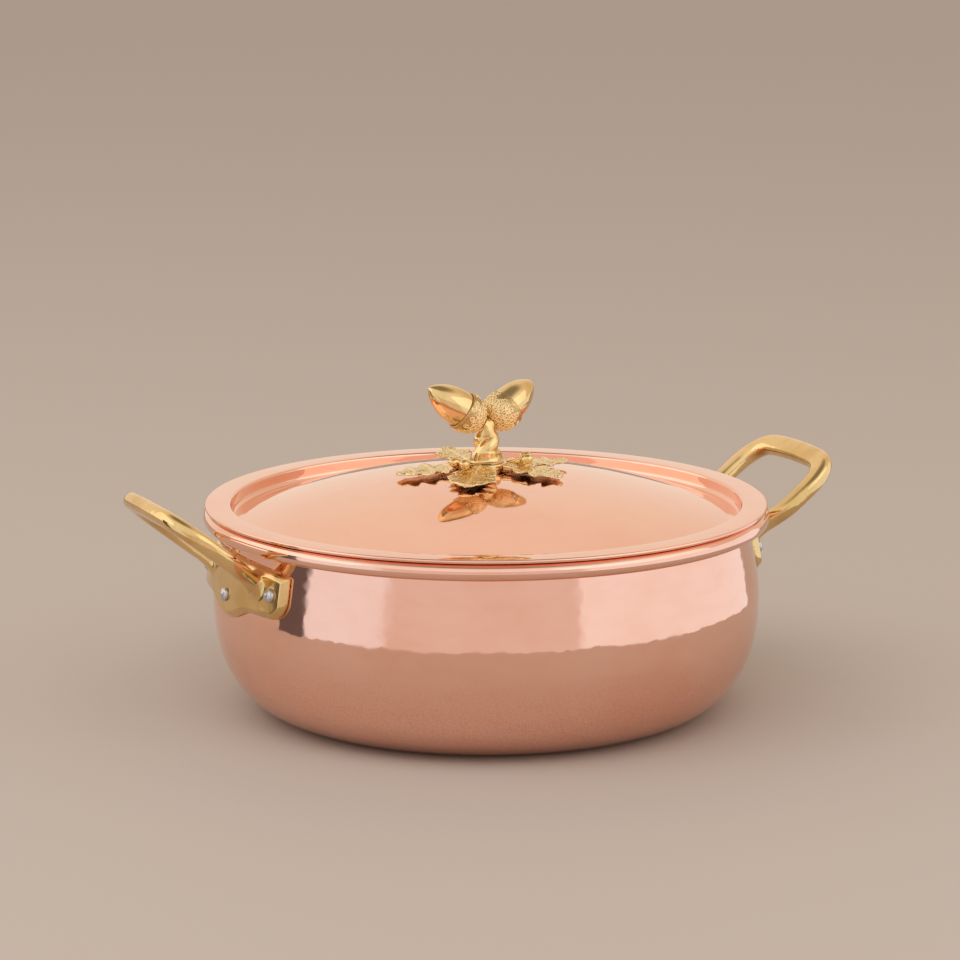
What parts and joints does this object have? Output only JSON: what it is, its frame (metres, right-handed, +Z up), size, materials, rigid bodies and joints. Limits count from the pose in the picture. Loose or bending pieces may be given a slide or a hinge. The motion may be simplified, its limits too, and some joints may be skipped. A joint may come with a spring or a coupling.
{
  "type": "lidded serving pan",
  "caption": "Round copper serving pan with riveted cast brass loop handles and a lift-off domed lid with an acorn and oak-leaf knob.",
  "frame": {"origin": "centre of the flat base, on the surface the pan stands on", "axes": "+Z up along the pan's axis, +X towards one of the two handles"},
  "size_m": [0.3662, 0.282, 0.1643],
  "materials": {
    "copper": "polished copper, hammered on the pan's wall",
    "cast_brass": "polished casting",
    "steel": "satin",
    "tin": "wiped tin lining inside the pan and under the lid"
  },
  "bodies": {
    "pan": {"pan_shell": "copper", "handle_left": "cast_brass", "handle_right": "cast_brass", "rivet_left_1": "steel", "rivet_left_2": "steel", "rivet_left_3": "steel", "rivet_right_1": "steel", "rivet_right_2": "steel", "rivet_right_3": "steel"},
    "lid": {"lid_sheet": "copper", "leaf_collar": "cast_brass", "oak_leaf_left": "cast_brass", "oak_leaf_front_left": "cast_brass", "oak_leaf_front_right": "cast_brass", "oak_leaf_right": "cast_brass", "oak_leaf_back": "cast_brass", "oak_bud_1": "cast_brass", "oak_bud_2": "cast_brass", "oak_bud_3": "cast_brass", "oak_bud_4": "cast_brass", "sprig_stem": "cast_brass", "acorn_cup_left": "cast_brass", "acorn_cup_right": "cast_brass", "acorn_nut_left": "cast_brass", "acorn_nut_right": "cast_brass", "knob_washer": "steel", "knob_screw": "steel"}
  },
  "joints": [
    {"name": "lid_lift", "type": "slide", "parent": "pan", "child": "lid", "axis": [0, 0, 1], "range_m": [0, 0.12]}
  ]
}
